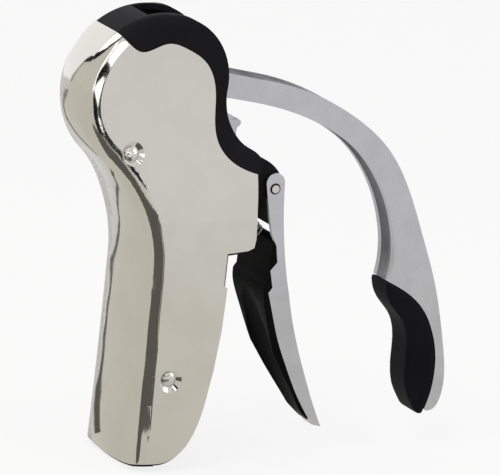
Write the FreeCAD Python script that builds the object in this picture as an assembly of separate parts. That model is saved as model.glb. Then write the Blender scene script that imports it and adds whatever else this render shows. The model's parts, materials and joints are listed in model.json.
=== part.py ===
import FreeCAD, Part
import math
import os

# Lever corkscrew. Millimetres, +Z up, the worm axis is the Z axis and Z = 0 is the lip of the
# bottle socket. The folded spine of the casing is on the -X side, the levers are on the +X side.

# ---- casing ----
sheet = 1.0                 # folded steel sheet
bend_radius = 6.0           # outside radius of the two spine folds
dome_width = 29.0           # casing width over the dome
neck_width = 44.0           # casing width over the bottle neck
flare_bottom = 97.5         # the casing is neck_width wide below this height
flare_top = 140.0           # and dome_width wide above this one
splay_top = 60.0            # below this height the plates spread a little
splay_radius = 1125.0       # on this large radius
sole_radius = 115.0         # the bottom edge sags on this radius, seen from the spine
sole_sag = 1.6              # so far below the socket's lip
skin_gap = 0.2              # between the casing and the mouldings inside it
dome_radius = 33.2
dome_x = -16.8
dome_z = 145.3
waist_radius = 60.0         # hollow of the spine between neck and dome
rim_radius = 27.0           # back of the dome, where it rounds over into the rim
rim_turn = 79.0             # degrees: where the dome radius becomes the rim radius
rim_finish = -8.0           # degrees: where the rim radius ends
cap_set = 0.4               # cap surface below the dome's outline
cap_wall = 2.3
cap_tuck = 3.0              # how far the cap reaches under the steel
slot_front = -24.0          # front end of the lever slot in the cap
edge_step = 0.9             # liner that shows below the steel edge
notch_strip = 1.0           # frame edge that shows beside the notch under the ear

# outlines in side view, as (x, z)
plate_back = [(-38.4, 171.8), (-33.6, 167.1), (-28.6, 164.2)]
plate_crest = [(-17.6, 167.3), (-8.5, 165.0), (-0.4, 159.9), (3.9, 152.9), (5.7, 141.4),
               (8.4, 126.9), (12.8, 121.5), (19.2, 117.7), (24.8, 115.9)]
plate_ear = [(24.9, 102.4), (25.6, 90.5), (25.1, 87.0), (22.5, 85.8), (13.7, 84.8), (13.6, 72.1),
             (15.2, 70.9), (14.6, 53.9), (12.7, 37.7)]
plate_corner = [(12.7, 37.7), (10.1, 24.1), (6.6, 13.1), (2.3, 6.3), (-2.4, 2.6), (-9.5, 0.9)]
rim_tail = [(11.8, 140.6), (13.3, 136.0), (16.4, 130.7), (20.1, 127.0), (25.3, 124.0),
            (28.4, 119.1)]
rim_under = [(25.3, 113.0), (-20.0, 113.0)]

# ---- rivets, posts and screws ----
rivets = [(-28.9, 124.2), (-5.7, 34.3)]
dimple_radius = 4.8
dimple_floor = 3.0          # radius of the dimple's flat floor
dimple_depth = 1.6
dimple_lap = 0.4            # the cone that cuts it starts this far outside the plate
rivet_head_radius = 2.8
rivet_head_rise = 1.3
rivet_head_ball = 5.0       # radius of its domed face
rivet_shank_radius = 1.6
rivet_shank = 3.2
upper_post_inset = 7.4      # from the dome's outline to the upper post
upper_post_rise = 0.1       # above the middle of the dome
lower_post = (-17.4, 99.5)
post_radius = 2.2
screw_radius = 1.1
screw_head = 2.0
screw_head_depth = 1.0
screw_seat = 1.2            # wall between a screw's head and its post
screw_grip = 5.0            # thread length inside a post or the hinge block
screw_fit = 0.05
hinge_screw = (17.5, 109.0)

# ---- bottle socket ----
neck_radius = 15.2          # saddle radius, for bottle necks of 28 to 30 mm
saddle_wall = 0.8           # rubber at the thinnest place
saddle_back = 2.0           # the saddle ends at this x
liner_wall = 1.1
lip_height = 67.0           # bottle lip stops here
lip_ring_height = 3.7
cork_radius = 12.8          # free bore above the lip, for corks up to 24 mm
clearance = 0.3             # general clearance between pieces

# ---- gear train ----
module = 0.8
pressure_angle = 20.0
sector_pitch_teeth = 54     # teeth that the lever sector would have as a full wheel
sector_first = -1           # teeth cut on the sector, counted from the meshing one
sector_last = 14
pinion_teeth = 18
rack_gear_teeth = 25
backlash = 0.14
hub_x = -16.0               # lever pivot
hub_z = 153.0
gear_x = -20.0              # compound gear axle
pinion_half = 6.4           # half width of sector and pinion
rack_gap = 0.4              # between the lever and the racks beside it
rack_width = 3.5
wall_gap = 0.3              # between the racks and the frame walls
lever_pin_radius = 3.0
axle_radius = 2.5
pin_seat = 1.6              # depth of the pins' ends in the frame walls
spacer_radius = 4.5
running_fit = 0.06          # radial clearance of everything that turns on a pin
lever_swing = 90.0

# ---- lever, outlines as (x, z) ----
lever_half = 7.0            # half thickness of the lever
hub_radius = 8.6
channel_half = 4.2          # channel along the lever's underside
channel_depth = 2.4
lever_top = [(-10.6, 160.5), (2.4, 156.6), (15.2, 153.3), (40.9, 148.3), (59.2, 141.8),
             (75.8, 132.4), (88.4, 121.6), (99.0, 105.5), (108.0, 85.2), (116.0, 64.8),
             (121.4, 44.5), (124.1, 30.0), (123.6, 19.9), (121.2, 14.9), (117.6, 13.7)]
lever_seat = [(116.8, 14.5), (119.0, 22.5), (119.7, 30.2), (119.1, 37.9), (116.7, 46.3),
              (112.8, 53.9), (107.0, 60.2), (101.4, 64.0), (94.8, 67.4)]
lever_under = [(94.8, 67.4), (95.6, 74.0), (95.4, 80.6), (93.9, 88.6), (90.0, 99.9),
               (85.5, 108.2), (78.9, 117.0), (71.4, 123.9), (58.0, 131.7), (42.5, 137.8),
               (15.8, 143.4), (0.4, 145.5), (-10.1, 146.2)]
grip_half = 7.4
grip_fit = 0.05
grip_inner = [(93.9, 67.1), (94.5, 62.7), (97.7, 57.0), (102.7, 51.4), (105.3, 45.9),
              (106.3, 37.7), (106.7, 27.5), (108.3, 21.2), (111.5, 15.5), (114.4, 12.4),
              (116.4, 12.6)]

# ---- carrier and worm ----
worm_pitch = 10.0
worm_wire = 1.45            # wire radius
worm_coil_radius = 3.4      # radius of the wire's centre line
worm_tip_z = 71.2
worm_point = 3.0            # length of the sharpened end
worm_point_radius = 0.25
worm_hub_radius = 5.0
worm_hub_z = 128.0
worm_hub_height = 2.1
shank_radius = 2.5
shank_end = 3.0             # shank above the carrier
washer_radius = 5.2
washer_height = 0.6
collar_radius = 4.4
collar_height = 2.1
retainer_gap = 0.1
bush_radius = 3.9
bush_flange_radius = 5.6
bush_flange = 0.9
carrier_height = 7.0
carrier_back = 8.0          # the carrier block's +X face
carrier_front = -6.5        # and its -X face
rack_back = -5.2
rack_bottom_z = 121.6
worm_channel = 0.45         # clearance round the wire in the worm nut
nut_radius = 7.1
nut_height = 8.8
nut_step = 2.5              # the wings end this far below the nut's top
nut_wing = 13.4
nut_wing_width = 8.0

# ---- nut latch ----
pawl_x = -15.0
pawl_z = 72.2
pawl_pin_radius = 1.0
pawl_boss = 1.9
latch_half = 3.6
latch_coil_radius = 1.5
latch_wire = 0.3
latch_pitch = 1.3
latch_coil_length = 3.9

# ---- hinge block and lever stop, outlines as (x, z) ----
hinge_bottom = 95.3
hinge_back = 24.9
hinge_roof = [(16.1, 126.0), (20.5, 122.9), (26.9, 121.4)]
hinge_shelf = [(26.9, 103.3), (24.9, 101.8)]
hinge_nose = [(26.7, 121.2), (30.5, 120.2), (34.7, 117.7), (38.1, 113.9)]
stop_half = 6.0
stop_round = 0.35
stop_outline = [(14.1, 126.4), (13.5, 132.9), (14.5, 134.5), (20.7, 134.8), (21.9, 134.0),
                (22.0, 132.8), (20.4, 131.2), (20.2, 126.4), (20.7, 123.0), (20.5, 123.0),
                (16.1, 126.1), (14.1, 126.4)]
jaw_pocket_half = 18.4      # half width of the room for the clamp in the frame

# ---- clamp trigger ----
trigger_x = 35.8            # trigger pin
trigger_z = 108.5
trigger_pin_radius = 1.6
trigger_half = 14.0
trigger_wall = 1.4
pin_proud = 0.5             # pin ends outside the trigger's walls
clamp_swing = 28.0          # degrees from open to closed on a neck
lug_radius = 3.7
crown_radius = 4.1
crown_rise = 2.2            # the walls' rounded tops stand this far above the pin
web_top = 102.8             # the trigger's back ends here, below the pin
window_low = 87.2           # window in the back
window_high = 91.2
jaw_fit = 0.15              # between the jaw and the channel that holds it
spring_radius = 2.4
spring_wire = 0.35
spring_pitch = 1.9
spring_start = (25.1, 99.3)     # on the hinge block
spring_finish = (37.8, 87.2)    # on the jaw
trigger_tail = [(40.4, 102.3), (42.1, 88.1), (46.9, 65.4), (55.3, 42.1), (64.3, 22.8),
                (68.9, 14.5), (73.0, 7.5)]
trigger_front = [(68.8, 8.5), (62.9, 16.0), (56.7, 25.0), (50.6, 35.9), (45.3, 46.6),
                 (41.0, 57.4), (37.6, 66.2)]
trigger_steps = [(39.1, 68.3), (37.4, 75.3), (40.1, 78.5), (38.9, 85.3), (36.2, 90.2),
                 (33.9, 99.5)]
trigger_taper = [(66.0, 0.0), (53.8, 1.8), (41.4, 3.7), (29.1, 5.4), (18.0, 8.1), (4.3, 11.4)]
jaw_front = [(37.0, 78.5), (36.8, 71.5), (35.5, 69.7)]
jaw_face = [(35.5, 69.7), (36.0, 63.7), (38.2, 57.0), (42.6, 45.2), (50.3, 29.3), (58.9, 17.9),
            (66.3, 10.7)]

origin = FreeCAD.Vector(0, 0, 0)
along_y = FreeCAD.Vector(0, 1, 0)
up = FreeCAD.Vector(0, 0, 1)
beyond = 250.0              # past every face of the part, for cuts that go right through
margin = 1.0                # overlap of a cutting shape with what it cuts

# values that follow from the ones above
socket_wall = saddle_wall + liner_wall + 2 * skin_gap
spine_x = -(neck_radius + socket_wall + sheet)
waist_x = spine_x - waist_radius
waist_z = dome_z - math.sqrt((waist_radius + dome_radius) ** 2 - (dome_x - waist_x) ** 2)
rim_x = dome_x + (dome_radius - rim_radius) * math.cos(math.radians(rim_turn))
rim_z = dome_z + (dome_radius - rim_radius) * math.sin(math.radians(rim_turn))
sector_radius = module * sector_pitch_teeth / 2
pinion_radius = module * pinion_teeth / 2
rack_gear_radius = module * rack_gear_teeth / 2
gear_z = hub_z - math.sqrt((sector_radius + pinion_radius) ** 2 - (gear_x - hub_x) ** 2)
rack_inner = lever_half + rack_gap
rack_outer = rack_inner + rack_width
wall_y = rack_outer + wall_gap
travel = math.radians(lever_swing) * sector_radius / pinion_radius * rack_gear_radius
carrier_z = worm_hub_z + worm_hub_height + bush_flange
nut_z = lip_height + lip_ring_height + clearance
posts = [(dome_x - dome_radius + upper_post_inset, dome_z + upper_post_rise), lower_post]
nut_roof = nut_z + nut_height + travel      # top of the nut after its full stroke
pin_reach = wall_y + pin_seat               # half length of the pins that the frame walls hold
lug_half = trigger_half - trigger_wall - clearance
mesh_angle = math.atan2(gear_z - hub_z, gear_x - hub_x)
crown_z = trigger_z + crown_rise
trigger_back = [(trigger_x + crown_radius, crown_z)] + trigger_tail


def place(x, z, y=0.0):
    return FreeCAD.Vector(x, y, z)


def polar(x, z, radius, degrees):
    angle = math.radians(degrees)
    return place(x + radius * math.cos(angle), z + radius * math.sin(angle))


def line(start, end):
    return Part.LineSegment(start, end).toShape()


def chain(points):
    """Straight edges through the points."""
    return [line(points[i], points[i + 1]) for i in range(len(points) - 1)]


def arc(x, z, radius, first, last):
    """Arc in the XZ plane about (x, z), between two angles in degrees."""
    middle = (first + last) / 2
    ends = [polar(x, z, radius, angle) for angle in (first, middle, last)]
    return Part.Arc(*ends).toShape()


def smooth(points):
    """One smooth curve through (x, z) points."""
    curve = Part.BSplineCurve()
    curve.interpolate([place(x, z) for x, z in points])
    return curve


def shifted(points, distance):
    """The same smooth line, moved sideways to the left of its direction."""
    curve = smooth(points)
    result = []
    for x, z in points:
        along = curve.tangent(curve.parameter(place(x, z)))[0]
        result.append((x - along.z * distance, z + along.x * distance))
    return result


def flat(edges):
    return Part.Face(Part.Wire(Part.__sortEdges__(edges)))


def slab(edges, half_or_low, high=None):
    """Closed XZ outline, thickened along Y: +-half, or from low to high."""
    low = -half_or_low if high is None else half_or_low
    top = half_or_low if high is None else high
    solid = flat(edges).extrude(FreeCAD.Vector(0, top - low, 0))
    solid.translate(FreeCAD.Vector(0, low, 0))
    return solid


def box(x0, x1, y0, y1, z0, z1):
    return Part.makeBox(x1 - x0, y1 - y0, z1 - z0, FreeCAD.Vector(x0, y0, z0))


def rod(radius, x, z, y0, y1):
    """Cylinder along Y."""
    return Part.makeCylinder(radius, y1 - y0, FreeCAD.Vector(x, y0, z), along_y)


def post(radius, z0, z1, x=0.0, y=0.0):
    return Part.makeCylinder(radius, z1 - z0, FreeCAD.Vector(x, y, z0), up)


def union(shapes):
    result = shapes[0]
    for shape in shapes[1:]:
        result = result.fuse(shape)
    return result.removeSplitter()


def mirrored(shape):
    return shape.mirror(origin, along_y)


def save(name, shape):
    solids = shape.Solids
    whole = Part.makeCompound(solids) if len(solids) > 1 else solids[0]
    print(f"{name}: solids {len(solids)} valid {whole.isValid()} volume {whole.Volume:.1f}")
    whole.exportStep(f"parts/{name}.step")


# ---- casing outlines ----

def side_profile(inset):
    """Spine, waist and dome of the casing, closed far behind the levers."""
    join = math.degrees(math.atan2(dome_z - waist_z, dome_x - waist_x))
    top = dome_z + dome_radius - inset
    edges = chain([place(beyond, top), place(beyond, -beyond), place(spine_x + inset, -beyond),
                   place(spine_x + inset, waist_z)])
    edges.append(arc(waist_x, waist_z, waist_radius + inset, 0.0, join))
    edges.append(arc(dome_x, dome_z, dome_radius - inset, 180.0 + join, 90.0))
    edges.append(line(place(dome_x, top), place(beyond, top)))
    return edges


def splayed(z, inset=0.0):
    """Half width of the lower casing, where the plates spread on a large radius."""
    return neck_width / 2 + splay_radius - math.sqrt((splay_radius + inset) ** 2 - (splay_top - z) ** 2)


def half_width(z):
    """Half the casing's width at a height, on the same curve as front_profile."""
    if z <= splay_top:
        return splayed(z)
    if z <= flare_bottom:
        return neck_width / 2
    if z >= flare_top:
        return dome_width / 2
    low, high = 0.0, 1.0
    for _ in range(30):
        middle = (low + high) / 2
        rise = 1.2 * middle * (1 - middle) ** 2 + 1.8 * middle ** 2 * (1 - middle) + middle ** 3
        if flare_bottom + rise * (flare_top - flare_bottom) < z:
            low = middle
        else:
            high = middle
    share = low ** 2 * (3 - 2 * low)
    return (neck_width + (dome_width - neck_width) * share) / 2


def front_profile(inset):
    """The casing from the front: wide at the neck, narrow at the dome."""
    wide = neck_width / 2 - inset
    narrow = dome_width / 2 - inset
    lean = 0.4 * (flare_top - flare_bottom)
    low = -splay_top
    edges = []
    for side in (-1, 1):
        skirt = [place(side * splayed(z, inset), z) for z in (low, 0.0, splay_top)]
        poles = [place(side * wide, flare_bottom), place(side * wide, flare_bottom + lean),
                 place(side * narrow, flare_top - lean), place(side * narrow, flare_top)]
        curve = Part.BezierCurve()
        curve.setPoles(poles)
        edges += [Part.Arc(*skirt).toShape(), line(skirt[2], poles[0]), curve.toShape()]
        edges.append(line(poles[3], place(side * narrow, beyond)))
    edges.append(line(place(-splayed(low, inset), low), place(splayed(low, inset), low)))
    edges.append(line(place(-narrow, beyond), place(narrow, beyond)))
    return edges


def envelope(side_inset, spine_inset):
    """The casing's outer form, moved inward, with rounded spine folds."""
    body = slab(side_profile(spine_inset), beyond)
    front = slab(front_profile(side_inset), 2 * beyond)
    front.rotate(origin, up, 90)
    body = body.common(front)
    folds = []
    for edge in body.Edges:
        bounds = edge.BoundBox
        level = bounds.ZLength < margin
        behind = bounds.XMax < dome_x + margin and bounds.XLength < 2 * dome_radius
        if behind and not level:
            folds.append(edge)
    return body.makeFillet(bend_radius - side_inset, folds)


def plate_edge():
    """Top edge of the side plates, from the spine fold to the ear."""
    return plate_back + plate_crest


def plate_outline(drop=0.0):
    """The casing's extent: behind the spine, over the top, down the ear, along the sagging bottom."""
    top = plate_edge()
    edges = [smooth(top).toShape()]
    edges += chain([place(x, z) for x, z in [top[-1]] + plate_ear])
    edges.append(smooth(plate_corner).toShape())
    low = -10.0
    behind = -2 * dome_radius
    edges += chain([place(*plate_corner[-1]), place(plate_corner[-1][0], low), place(behind, low),
                    place(behind, top[0][1]), place(*top[0])])
    sole = Part.makeCylinder(sole_radius, 2 * beyond, FreeCAD.Vector(-beyond, 0, sole_radius - sole_sag),
                             FreeCAD.Vector(1, 0, 0))
    solid = slab(edges, beyond).common(sole)
    solid.translate(FreeCAD.Vector(0, 0, -drop))
    return solid


def rim_outline(inset):
    """The dome seen from the side, with the rim that runs down behind it to the ear."""
    dome_start = 150.0
    start = polar(rim_x, rim_z, rim_radius, rim_finish)
    tail = shifted([(start.x, start.z)] + rim_tail, -inset)
    start = polar(rim_x, rim_z, rim_radius - inset, rim_finish)
    tail = [(start.x, start.z)] + tail[1:]
    edges = [arc(dome_x, dome_z, dome_radius - inset, dome_start, rim_turn),
             arc(rim_x, rim_z, rim_radius - inset, rim_turn, rim_finish),
             smooth(tail).toShape()]
    under = [place(x, z) for x, z in [tail[-1]] + rim_under]
    return edges + chain(under + [polar(dome_x, dome_z, dome_radius - inset, dome_start)])


# ---- casing and what is fixed to it ----

def plate_tilt(z):
    """Lean of the side plate at a height, in degrees."""
    step = 0.5
    return math.degrees(math.atan2(half_width(z - step) - half_width(z + step), 2 * step))


def on_plate(shape, x, z):
    """Moves a shape made at the origin, facing -Y, to the near plate, square to it."""
    shape.rotate(origin, FreeCAD.Vector(1, 0, 0), -plate_tilt(z))
    shape.translate(FreeCAD.Vector(x, -half_width(z), z))
    return shape


def dimple(x, z, grow):
    """Cone that is pressed into the plate: grow 0 for its outside, the sheet for its inside."""
    spread = dimple_lap * (dimple_radius - dimple_floor) / dimple_depth
    cone = Part.makeCone(dimple_radius + spread + grow, dimple_floor + grow, dimple_depth + dimple_lap,
                         FreeCAD.Vector(0, grow - dimple_lap, 0), along_y)
    return on_plate(cone, x, z)


def rivet(x, z):
    """Rivet with a low domed head on the dimple's floor."""
    face = dimple_depth - rivet_head_rise
    ball = face + rivet_head_ball
    end = dimple_depth + rivet_shank
    shoulder = ball - math.sqrt(rivet_head_ball ** 2 - rivet_head_radius ** 2)
    lean = math.asin(rivet_head_radius / rivet_head_ball) / 2
    half_way = (rivet_head_ball * math.sin(lean), ball - rivet_head_ball * math.cos(lean))
    outline = [(0.0, face), (0.0, end), (rivet_shank_radius, end), (rivet_shank_radius, dimple_depth),
               (rivet_head_radius, dimple_depth), (rivet_head_radius, shoulder)]
    corners = [FreeCAD.Vector(radius, depth, 0) for radius, depth in outline]
    dome = Part.Arc(corners[-1], FreeCAD.Vector(*half_way, 0), corners[0]).toShape()
    return on_plate(flat(chain(corners) + [dome]).revolve(origin, along_y, 360), x, z)


def both(shape):
    return [shape, mirrored(shape)]


def outer_shell(outside, inside, plates):
    skin = outside.cut(inside).common(plates)
    for x, z in rivets:
        for pressed in both(dimple(x, z, sheet)):
            skin = skin.fuse(pressed.common(outside))
    for x, z in rivets:
        for hollow in both(dimple(x, z, 0.0)):
            skin = skin.cut(hollow)
        for pin in both(rivet(x, z)):
            skin = skin.cut(pin)
    return skin


def top_cap(cap_body, frame_body, plates):
    """Black cap: closed nose in front of the lever slot, and a rim on each side of it."""
    cap = cap_body.common(slab(rim_outline(cap_set), beyond))
    cap = cap.cut(plate_outline(cap_tuck)).cut(plates.cut(frame_body))
    cap = cap.cut(slab(rim_outline(cap_set + cap_wall), wall_y))
    slot_half = rack_inner + clearance
    cap = cap.cut(box(slot_front, beyond, -slot_half, slot_half, rim_under[0][1] - margin, beyond))
    block_top = hinge_roof[0][1] + 3 * margin
    behind = box(carrier_back + margin, beyond, -beyond, beyond, 0, block_top)
    cap = cap.cut(slab(rim_outline(-2 * margin), wall_y).common(behind))
    half = lug_half + clearance / 2
    return cap.cut(box(hinge_back + margin, beyond, -half, half, 0, block_top + margin))


def screw(x, z):
    """Near-side countersunk screw, from the frame wall into a post or block."""
    seat = -(wall_y + screw_seat)
    shank = rod(screw_radius, x, z, seat, screw_grip - wall_y)
    head = rod(screw_head, x, z, seat - screw_head_depth, seat)
    return union([head, shank])


def frame_half(frame_body, plates):
    """Near half of the moulded frame, which guides the racks and carries the axles."""
    near = frame_body.common(box(-beyond, beyond, -beyond, -wall_y, lip_height + clearance, beyond))
    strip = plates.copy()
    strip.translate(place(notch_strip, -notch_strip))
    ear_x, ear_z = plate_ear[2]
    notch_x, notch_z = plate_ear[5]
    strip = strip.common(box(notch_x - margin, ear_x, -beyond, beyond, notch_z - 2 * margin, ear_z))
    under_cap = slab(rim_outline(-3 * margin), beyond).cut(plate_outline(cap_tuck))
    half = near.common(union([plates, strip])).cut(under_cap)
    half = half.cut(post(cork_radius, 0, nut_roof + 3 * margin))
    half = half.cut(post(neck_radius + jaw_fit, 0, lip_height + lip_ring_height + jaw_fit))
    wing = nut_wing_width / 2 + clearance
    half = half.cut(box(-wing, wing, -nut_wing - clearance, 0, 0, nut_roof + 2 * margin))
    room_x = carrier_back + 2 * jaw_fit
    half = half.cut(box(room_x, beyond, -jaw_pocket_half, 0, 0, hinge_bottom - clearance))
    for x, z in posts + [hinge_screw]:
        half = half.cut(rod(screw_radius + screw_fit, x, z, -beyond, 0))
        half = half.cut(rod(screw_head + 2 * screw_fit, x, z, -beyond, -(wall_y + screw_seat)))
    for radius, x, z in [(lever_pin_radius, hub_x, hub_z), (axle_radius, gear_x, gear_z),
                         (pawl_pin_radius, pawl_x, pawl_z)]:
        half = half.cut(rod(radius, x, z, -pin_reach, 0))
    return clear_of_rivets(half)


def frame_posts():
    """Threaded distance posts between the two frame halves."""
    result = []
    for x, z in posts:
        tube = rod(post_radius, x, z, -wall_y, wall_y)
        result.append(tube.cut(Part.makeCompound(both(screw(x, z)))))
    return Part.makeCompound(result)


def clear_of_rivets(shape):
    """Cuts the seats of the pressed dimples and of the rivets, on both sides."""
    for x, z in rivets:
        for seat in both(dimple(x, z, sheet + skin_gap)) + both(rivet(x, z)):
            shape = shape.cut(seat)
    return shape


def socket_liner(liner_body, saddle_body, plates):
    """Plastic liner of the bottle socket, open at the back like the casing."""
    liner = liner_body.cut(saddle_body).common(box(-beyond, beyond, -beyond, beyond, -beyond, lip_height))
    return clear_of_rivets(liner.common(union([plates, plate_outline(edge_step)])))


def socket_saddle(saddle_body):
    """Rubber saddle that the bottle neck lies in."""
    room = box(-beyond, saddle_back, -beyond, beyond, 0.0, lip_height - 2 * margin)
    saddle = saddle_body.common(room).common(plate_outline(edge_step))
    return clear_of_rivets(saddle.cut(post(neck_radius, -margin, lip_height)))


def lip_ring():
    """Ring that stops the bottle's lip; open in front for the nut latch and its spring."""
    low = lip_height + clearance / 3
    ring = post(neck_radius - skin_gap, low, lip_height + lip_ring_height)
    ring = ring.cut(post(cork_radius, 0, beyond))
    half = latch_half + 0.5
    ring = ring.cut(box(-beyond, -cork_radius / 2, -half, half, 0, beyond))
    return ring.cut(rod(pawl_pin_radius + 1.2, pawl_x, pawl_z, 0.0, latch_half + 6.0))


# ---- hinge block for the clamp trigger ----

def hinge_block():
    """Black block between the frame halves, with the lug that the trigger turns on."""
    front = carrier_back + 1.5
    roof = hinge_roof[0][1] + 0.6
    outline = [(front, hinge_bottom), (front, roof)] + hinge_roof + hinge_shelf
    outline += [(hinge_back, hinge_bottom), (front, hinge_bottom)]
    base = chain([place(*point) for point in outline])
    end = polar(trigger_x, trigger_z, lug_radius, 20.0)
    bottom = polar(trigger_x, trigger_z, lug_radius, -100.0)
    lug = [smooth(hinge_nose + [(end.x, end.z)]).toShape()]
    lug.append(arc(trigger_x, trigger_z, lug_radius, 20.0, -100.0))
    lug += chain([bottom, place(hinge_nose[0][0], hinge_shelf[0][1]), place(*hinge_nose[0])])
    block = union([slab(base, wall_y - 0.1), slab(lug, lug_half)])
    pocket = Part.makeCylinder(spring_radius + 0.5, 6.0, FreeCAD.Vector(0, 0, 0.1), up)
    block = block.cut(on_spring_axis(pocket))
    for fastener in both(screw(*hinge_screw)):
        block = block.cut(fastener)
    return block.cut(rod(trigger_pin_radius, trigger_x, trigger_z, -beyond, beyond))


def on_spring_axis(shape):
    """Puts a shape made along +Z at the origin on the trigger spring's slanted axis."""
    run = spring_finish[0] - spring_start[0]
    fall = spring_start[1] - spring_finish[1]
    shape.rotate(origin, along_y, 90.0 + math.degrees(math.atan2(fall, run)))
    shape.translate(place(*spring_start))
    return shape


def lever_stop():
    """Cast stop with a lip, on the hinge block; the lever's underside comes down to it."""
    stop = slab(chain([place(*point) for point in stop_outline]), stop_half)
    upper = [edge for edge in stop.Edges if abs(edge.BoundBox.YLength - 2 * stop_half) < 0.01
             and edge.BoundBox.ZMin > stop_outline[0][1] + 2 * margin]
    return stop.makeFillet(stop_round, upper)


def frame_screws(places):
    return Part.makeCompound([s for x, z in places for s in both(screw(x, z))])


# ---- gears ----

def tooth_half_angle(teeth, radius):
    """Half angle of an involute tooth at a radius, in radians, thinned by the backlash."""
    pitch = module * teeth / 2
    pressure = math.radians(pressure_angle)
    base = pitch * math.cos(pressure)
    at = math.acos(min(1.0, base / radius))
    rolled = math.tan(pressure) - pressure - (math.tan(at) - at)
    return math.pi / (2 * teeth) + rolled - backlash / (2 * pitch)


def tooth_points(teeth, centre):
    """Outline of one tooth about the origin, from one root to the other, as radius and angle."""
    pitch = module * teeth / 2
    root = pitch - 1.25 * module
    tip = pitch + module
    base = max(pitch * math.cos(math.radians(pressure_angle)), root + 0.02)
    radii = [base + (tip - base) * share for share in (0.0, 0.25, 0.5, 0.75, 1.0)]
    rise = [(radius, centre + tooth_half_angle(teeth, radius)) for radius in reversed(radii)]
    fall = [(radius, centre - tooth_half_angle(teeth, radius)) for radius in radii]
    return [(root, fall[0][1])] + fall + rise + [(root, rise[-1][1])]


def gear_points(x, z, teeth, centres):
    result = []
    for centre in centres:
        for radius, angle in tooth_points(teeth, centre):
            result.append(place(x + radius * math.cos(angle), z + radius * math.sin(angle)))
    return result


def wheel(x, z, teeth, first, low, high):
    """Toothed wheel with one tooth centred on the angle first, in radians."""
    centres = [first + 2 * math.pi * i / teeth for i in range(teeth)]
    points = gear_points(x, z, teeth, centres)
    return slab(chain(points + [points[0]]), low, high)


def compound_gear():
    """Pinion in the middle, driven by the lever, and a rack gear on each side of it."""
    pinion_first = mesh_angle + math.pi + math.pi / pinion_teeth
    gear = wheel(gear_x, gear_z, pinion_teeth, pinion_first, -pinion_half, pinion_half)
    hubs = rod(pinion_radius - module * 1.25 - 0.2, gear_x, gear_z, -rack_inner, rack_inner)
    side = wheel(gear_x, gear_z, rack_gear_teeth, 0.0, -rack_outer, -rack_inner)
    gear = union([gear, hubs, side, mirrored(side)])
    return gear.cut(rod(axle_radius + running_fit, gear_x, gear_z, -beyond, beyond))


# ---- lever ----

def lever_arm():
    """Curved arm with a shallow channel along its underside, from the dome to the grip."""
    edges = [smooth(lever_top).toShape(), line(place(*lever_top[-1]), place(*lever_seat[0])),
             smooth(lever_seat).toShape(), smooth(lever_under).toShape()]
    edges += chain([place(*lever_under[-1]), place(hub_x, hub_z), place(*lever_top[0])])
    arm = slab(edges, lever_half)
    bed = shifted(lever_under, -channel_depth)[:-2]
    outside = shifted(lever_under, channel_depth)[:-2]
    side = [smooth(bed).toShape(), line(place(*bed[-1]), place(*outside[-1])),
            smooth(outside).toShape(), line(place(*outside[0]), place(*bed[0]))]
    return arm.cut(slab(side, channel_half))


def lever():
    """Cast lever: hub, toothed sector that drives the pinion, and the long curved arm."""
    step = 2 * math.pi / sector_pitch_teeth
    centres = [mesh_angle - step * i for i in range(sector_first, sector_last + 1)]
    teeth = gear_points(hub_x, hub_z, sector_pitch_teeth, sorted(centres))
    sector = slab(chain([place(hub_x, hub_z)] + teeth + [place(hub_x, hub_z)]), pinion_half)
    hub = rod(hub_radius, hub_x, hub_z, -lever_half, lever_half)
    whole = union([lever_arm(), sector, hub])
    return whole.cut(rod(lever_pin_radius + running_fit, hub_x, hub_z, -beyond, beyond))


def lever_grip():
    """Soft grip moulded over the inside of the lever's end."""
    seat = shifted(lever_seat, grip_fit)
    edges = [smooth(grip_inner).toShape(), line(place(*grip_inner[-1]), place(*seat[0])),
             smooth(seat).toShape(), line(place(*seat[-1]), place(*grip_inner[0]))]
    return slab(edges, grip_half)


# ---- carrier and worm ----

def rack_teeth():
    """Rack beside the lever, its teeth towards the compound gear."""
    pitch_x = gear_x + rack_gear_radius
    pitch = math.pi * module
    roof = (rim_radius - cap_set - cap_wall) ** 2 - (rack_back - rim_x) ** 2
    top = rim_z + math.sqrt(roof) - 0.5
    slope = math.tan(math.radians(pressure_angle))
    count = int((top - rack_bottom_z) / pitch)
    first = round((rack_bottom_z - gear_z) / pitch + 0.9) - 0.5
    root_x = pitch_x + 1.25 * module
    tip_x = pitch_x - module
    points = [place(rack_back, rack_bottom_z), place(root_x, rack_bottom_z)]
    for i in range(count):
        centre = gear_z + (first + i) * pitch
        thick = pitch / 4 - backlash / 2
        wide = thick + 1.25 * module * slope
        thin = thick - module * slope
        points += [place(root_x, centre - wide), place(tip_x, centre - thin),
                   place(tip_x, centre + thin), place(root_x, centre + wide)]
    points += [place(root_x, top), place(rack_back, top), points[0]]
    return slab(chain(points), -rack_outer, -rack_inner)


def carrier():
    """Carriage: two racks and the block that holds the worm's head."""
    low = carrier_z
    high = carrier_z + carrier_height
    block = box(carrier_front, carrier_back, -rack_outer, rack_outer, low, high)
    block = union([block, rack_teeth(), mirrored(rack_teeth())])
    block = block.cut(post(bush_radius, low - margin, high + margin))
    return block.cut(post(bush_flange_radius, 0, low))


def worm_bush():
    """Bronze flanged bush in the carrier."""
    bush = post(bush_radius, carrier_z, carrier_z + carrier_height)
    bush = union([bush, post(bush_flange_radius, carrier_z - bush_flange, carrier_z)])
    return bush.cut(post(shank_radius + running_fit, 0, beyond))


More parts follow.
